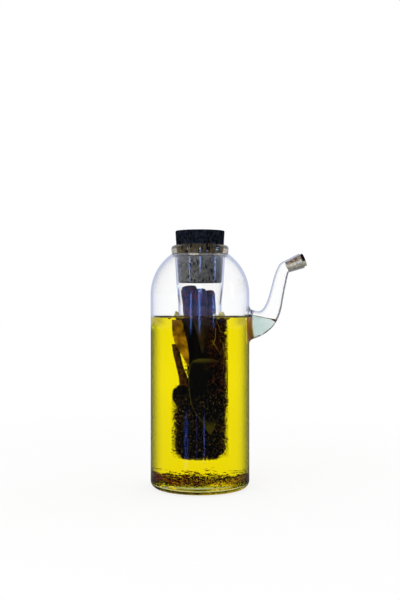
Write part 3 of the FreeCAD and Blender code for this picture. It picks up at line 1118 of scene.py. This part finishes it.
def red_herbs(material):
    """Red-brown needles and twigs at the right of the tube, flat against the glass in front of the leaf."""
    rng = random.Random(12)
    heap = Heap(rng)
    for _ in range(2600):
        height = rng.uniform(64, 127.8)
        degrees = rng.uniform(25, 150)
        radius = rng.uniform(9.5, 14.4) if height > 99 or degrees > 80 else rng.uniform(14.15, 14.6)
        against_glass = radius > 14
        if against_glass and (degrees < 45 and height < 92 or degrees < 78 and height < 77):
            continue
        if degrees < 62 and height > 99 and rng.random() < 0.45:
            continue
        centre = around_axis(radius, degrees, height)
        length = rng.uniform(1.0, 3.2)
        along = (heap.wander() + Vector((0, 0, 0.6))).normalized()
        if against_glass:
            outward = centre.normalized()
            along = (along - along.dot(outward) * outward).normalized()
            length = min(length, 1.6)
        heap.grain(centre, along, length, length * 0.22, 0.2)
    for _ in range(170):
        height = rng.uniform(70, 125)
        degrees = rng.uniform(15, 110)
        centre = around_axis(rng.uniform(10.5, 13.2) if height > 99 else 14.3, degrees, height)
        turn = rng.uniform(-30, 30)
        reach = rng.uniform(2.0, 5.0)
        flat = hypot(centre.x, centre.y)
        bends = ((0, 0), (0.4, 0.5), (0.7, 1))  # shares of the turn and of the reach
        points = [around_axis(flat, degrees + turn * a, height + reach * b) for a, b in bends]
        if points[-1].z < 127:
            heap.twig(points, rng.uniform(0.10, 0.2))
    heap.piece("herb_red", material, TUBE_ROOM)


def tan_herbs(material):
    """A few tan twigs along the glass, tan flakes, and many small crumbs at both sides."""
    rng = random.Random(13)
    heap = Heap(rng)
    for line in (  # degrees and heights
        ((42, 127.0), (50, 122.0), (53, 118.5)),
        ((53, 118.5), (62, 118.0), (74, 117.6)),
        ((30, 112), (44, 106), (58, 101)),
        ((40, 121), (38, 113), (30, 108)),
        ((64, 110), (70, 104), (72, 97)),
        ((74, 104), (68, 96), (66, 88)),
    ):
        heap.twig([around_axis(14.2, degrees, height) for degrees, height in line], 0.22, 10, 6)
    for place, size in (
        ((-13.3, -3.0, 54.4), 2.4),
        ((-12.2, -5.0, 58.0), 1.8),
        ((-13.6, -2.0, 57.0), 1.5),
        ((13.2, -3.8, 66.5), 2.6),
        ((13.4, -3.4, 47.0), 2.2),
        ((12.9, -5.0, 44.5), 1.7),
        ((13.6, -2.4, 49.6), 1.6),
        ((-12.6, -5.4, 50.0), 1.0),
        ((11.6, -7.6, 112.0), 1.4),
        ((12.9, -4.6, 106.0), 1.6),
        ((13.1, -4.2, 101.5), 1.3),
    ):
        heap.grain(Vector(place), heap.wander() * Vector((1, 0.2, 1)), size, size * 0.7, 0.35)
    for _ in range(1500):
        height = rng.uniform(24, 126)
        degrees = rng.choice((-1, 1)) * rng.uniform(55, 125)
        if height > 66 and degrees < 0:
            continue
        size = rng.uniform(0.3, 1.0)
        centre = around_axis(rng.uniform(13.2, 14.8), degrees, height)
        heap.grain(centre, heap.wander(), size, size * 0.6, 0.2)
    heap.piece("herb_tan", material, TUBE_ROOM)


def gold_dust(material):
    """Fine dust against the tube's wall and on its floor."""
    rng = random.Random(14)
    heap = Heap(rng)
    for _ in range(5600):
        if rng.random() < 0.3:
            height = 22.7 + abs(rng.gauss(0, 1.5))
            reach = 14.6 * sqrt(rng.random())
        else:
            height = rng.uniform(24, 72)
            reach = rng.uniform(12.4, 14.9)
        if reach > 14.9 - max(0, 27.3 - height) * 0.9:
            continue
        size = rng.uniform(0.2, 0.75)
        heap.grain(around_axis(reach, rng.uniform(-180, 180), height), heap.wander(), size, size * 0.7, 0.15)
    heap.piece("herb_dust", material, TUBE_ROOM)


def sediment(dark, red, tan):
    """Crumbs that have sunk to the bottle's floor, most at the left and the back, red ones at its edge."""
    rng = random.Random(21)
    for name, material, count in (("dark", dark, 3900), ("red", red, 1100), ("tan", tan, 800)):
        heap = Heap(rng)
        for _ in range(count):
            angle = rng.uniform(0, tau)
            reach = 34.6 * sqrt(rng.random())
            if name == "red" and rng.random() < 0.6:
                reach = rng.uniform(29, 35.2)
                angle = rng.choice((0, pi)) + rng.gauss(0, 0.55)
            at_edge = name == "red" and reach > 29
            x, y = reach * cos(angle), reach * sin(angle)
            bare = noise(Vector((x * 0.09, y * 0.09, 3.0)))
            kept = 1.0 - 0.023 * max(0, x + 10) - 0.024 * max(0, -y) - 0.9 * max(0, bare - 0.1)
            if rng.random() > max(kept, 0.07) and not at_edge:
                continue
            rise = max(0, reach - 31.5) ** 2 * 0.16
            height = 5.25 + rise + abs(rng.gauss(0, 1.0)) * (1.3 if name == "dark" else 1.6)
            if at_edge:
                height += rng.uniform(0, 4.5)
            room = 35.6 - hypot(x, y)
            length = min(rng.uniform(0.7, 2.6), max(0.5, 2 * room))
            flat = heap.wander()
            flat.z *= 0.35
            heap.grain(Vector((x, y, height)), flat, length, length * rng.uniform(0.25, 0.6), 0.35)
        heap.piece("sediment_" + name, material, BODY_ROOM)


def contents():
    """Everything dried that the herb tube and the bottle's floor hold."""
    # near_black: the dried herbs' own dark colour, made darker still as painted shade of the backlit herb
    # mass
    near_black = ((0.3, (0.001, 0.001, 0.001)), (0.5, (0.003, 0.0025, 0.002)), (0.75, (0.016, 0.012, 0.004)))
    red_brown = ((0.3, (0.010, 0.003, 0.002)), (0.5, (0.07, 0.016, 0.007)), (0.72, (0.32, 0.09, 0.02)))
    tan_tones = ((0.3, (0.16, 0.08, 0.02)), (0.5, (0.42, 0.24, 0.07)), (0.7, (0.7, 0.5, 0.2)))
    leaf_tan = ((0.3, (0.14, 0.075, 0.02)), (0.5, (0.55, 0.30, 0.07)), (0.7, (0.92, 0.60, 0.17)))
    bark = ((0.3, (0.03, 0.014, 0.005)), (0.52, (0.11, 0.046, 0.012)), (0.72, (0.24, 0.11, 0.027)))
    dust_tones = ((0.35, (0.02, 0.014, 0.003)), (0.5, (0.20, 0.12, 0.015)), (0.65, (0.8, 0.55, 0.08)))
    floor_brown = ((0.35, (0.004, 0.003, 0.002)), (0.52, (0.02, 0.011, 0.005)), (0.74, (0.16, 0.085, 0.025)))
    floor_red = ((0.3, (0.20, 0.025, 0.015)), (0.5, (0.50, 0.08, 0.04)), (0.7, (0.85, 0.28, 0.14)))
    dark = speckled("dark_herbs", near_black, 900, 0.75)
    tan = speckled("tan_herbs", tan_tones, 700, 0.7)
    herb_core(dark)
    dark_leaflets(dark)
    red_herbs(speckled("red_herbs", red_brown, 700, 0.6))
    tan_herbs(tan)
    gold_dust(speckled("gold_dust", dust_tones, 700, 0.7))
    bay_leaf(leaf_material())
    curled_leaf(speckled("tan_leaf", leaf_tan, 190, 0.65))
    stem(speckled("stem_bark", bark, 500, 0.7))
    seed_head(speckled("seed_head", near_black, 420, 0.7, 0.0008))
    sediment(speckled("sunk_brown", floor_brown, 800, 0.7), speckled("sunk_red", floor_red, 600, 0.6), tan)
    pod = pod_material()
    chili_pod("chili_pod_left", "chili_left", (-8.2, -0.6, 153.0), (-4.6, 5.0, 103.9), 6.9, 1, pod)
    chili_pod("chili_pod_middle", "chili_middle", (0.6, -5.4, 150.8), (1.4, -7.0, 102.4), 5.0, 2, pod)
    chili_pod("chili_pod_right", "chili_right", (7.0, -0.6, 149.6), (9.0, 2.5, 106.0), 4.5, 3, pod)


# ---- stage, light and camera


def seen_rays(tree):
    """1 for what the camera sees directly or straight through glass, 0 for mirrored rays and for light."""
    path = tree.add("LightPath").outputs
    unmirrored = tree.math("LESS_THAN", path["Glossy Depth"], 0.5)
    unscattered = tree.math("LESS_THAN", path["Diffuse Depth"], 0.5)
    through = tree.times(path["Is Transmission Ray"], unmirrored, unscattered)
    return tree.math("MAXIMUM", path["Is Camera Ray"], through)


def stage():
    """A pale floor under the object, which glows for what the camera sees and keeps the object's shadow."""
    bpy.ops.mesh.primitive_plane_add(size=8, location=(0, 0, -0.0003))
    floor = bpy.context.object
    floor.name = "floor"
    material, tree, shader = new_material("pale_floor", 0.9)
    shader["Base Color"].default_value = (0.25, 0.25, 0.25, 1)
    shader["Emission Color"].default_value = (1, 1, 1, 1)
    level = tree.ease(tree.place()[2], 0.15, 1.1, FLOOR_GLOW_NEAR, FLOOR_GLOW_FAR)
    tree.join(tree.times(seen_rays(tree), level), shader["Emission Strength"])
    floor.data.materials.append(material)


def world():
    """White behind everything that is seen directly or through glass, plain light elsewhere."""
    studio = bpy.data.worlds.new("studio")
    bpy.context.scene.world = studio
    tree = Tree(studio)
    background = tree.nodes["Background"].inputs
    glossy = tree.add("LightPath").outputs["Is Glossy Ray"]
    seen = seen_rays(tree)
    mirrored = tree.math("SUBTRACT", glossy, seen)
    tree.join(tree.mix(mirrored, (1.0, 1.0, 1.0), MIRROR_TINT), background["Color"])
    lit = tree.ease(glossy, 0, 1, WORLD_LEVEL, MIRROR_LEVEL)
    tree.join(tree.math("MAXIMUM", lit, seen), background["Strength"])


def lamp(name, place, target, size, power, colour=(1, 1, 1)):
    """A soft square lamp aimed at a point; sizes and places in metres."""
    light = bpy.data.lights.new(name, "AREA")
    light.shape = "RECTANGLE"
    light.size, light.size_y = size
    light.energy = power
    light.color = colour
    holder = bpy.data.objects.new(name, light)
    holder.location = place
    holder.rotation_euler = (Vector(target) - Vector(place)).to_track_quat("-Z", "Y").to_euler()
    holder.visible_camera = False
    bpy.context.collection.objects.link(holder)
    return holder


def soft_lamps():
    """The lamps that light the object."""
    for name, place, power in SOFT_LAMPS:
        holder = lamp(name, place, (0, 0, 0.1), (1.2, 1.2), power)
        holder.visible_glossy = False


def strip_lamps():
    """Narrow bluish lamps close in front, seen only as soft upright streaks mirrored in the glass."""
    for name, (x, y), width, low, high, brightness, colour in STRIPS:
        middle = (low + high) / 2
        size = (width * MM, (high - low) * MM)
        power = pi * size[0] * size[1] * brightness
        place = Vector((x, y, middle)) * MM
        target = Vector((x * 0.2, y * 0.3, middle)) * MM
        holder = lamp(name, place, target, size, power, colour)
        holder.visible_transmission = "neck" in name
        holder.visible_diffuse = False
        tree = Tree(holder.data)
        spot = tree.split(tree.surface()["Parametric"])
        fades = []
        for axis in "XY":
            off_middle = tree.math("ABSOLUTE", tree.math("SUBTRACT", spot[axis], 0.5))
            fades.append(tree.ease(off_middle, 0.15, 0.5, 1, 0))
        unscattered = tree.math("LESS_THAN", tree.add("LightPath").outputs["Diffuse Depth"], 0.5)
        tree.join(tree.times(*fades, unscattered), tree.nodes["Emission"].inputs["Strength"])


def camera():
    """Level with the start of the dome, about 0.7 m in front."""
    lens = bpy.data.cameras.new("camera")
    lens.lens = 57
    holder = bpy.data.objects.new("camera", lens)
    holder.location = (0, -0.723, 0.142)
    holder.rotation_euler = (radians(90), 0, 0)
    bpy.context.collection.objects.link(holder)
    bpy.context.scene.camera = holder


def settings():
    """Plain colours, and enough bounces for glass in oil in glass."""
    scene = bpy.context.scene
    scene.view_settings.view_transform = "Standard"
    for limit in ("max_bounces", "transmission_bounces", "transparent_max_bounces"):
        setattr(scene.cycles, limit, 32)
    scene.cycles.glossy_bounces = 12
    scene.cycles.caustics_refractive = True
    scene.cycles.caustics_reflective = False


def main():
    """Sets the scene and makes every piece; the glass is the CAD's own mesh."""
    settings()
    camera()
    stage()
    world()
    soft_lamps()
    strip_lamps()
    glass_node.data.materials.clear()
    glass_node.data.materials.append(glass_material())
    yellow = oil_material("yellow_oil", OIL_ABSORBED, OIL_DENSITY)
    body_oil(yellow)
    tube_oil(yellow)
    spout_oil(oil_material("pale_oil", PALE_ABSORBED, PALE_DENSITY))
    oil_drops()
    cork_stopper()
    cork_plug()
    contents()


main()
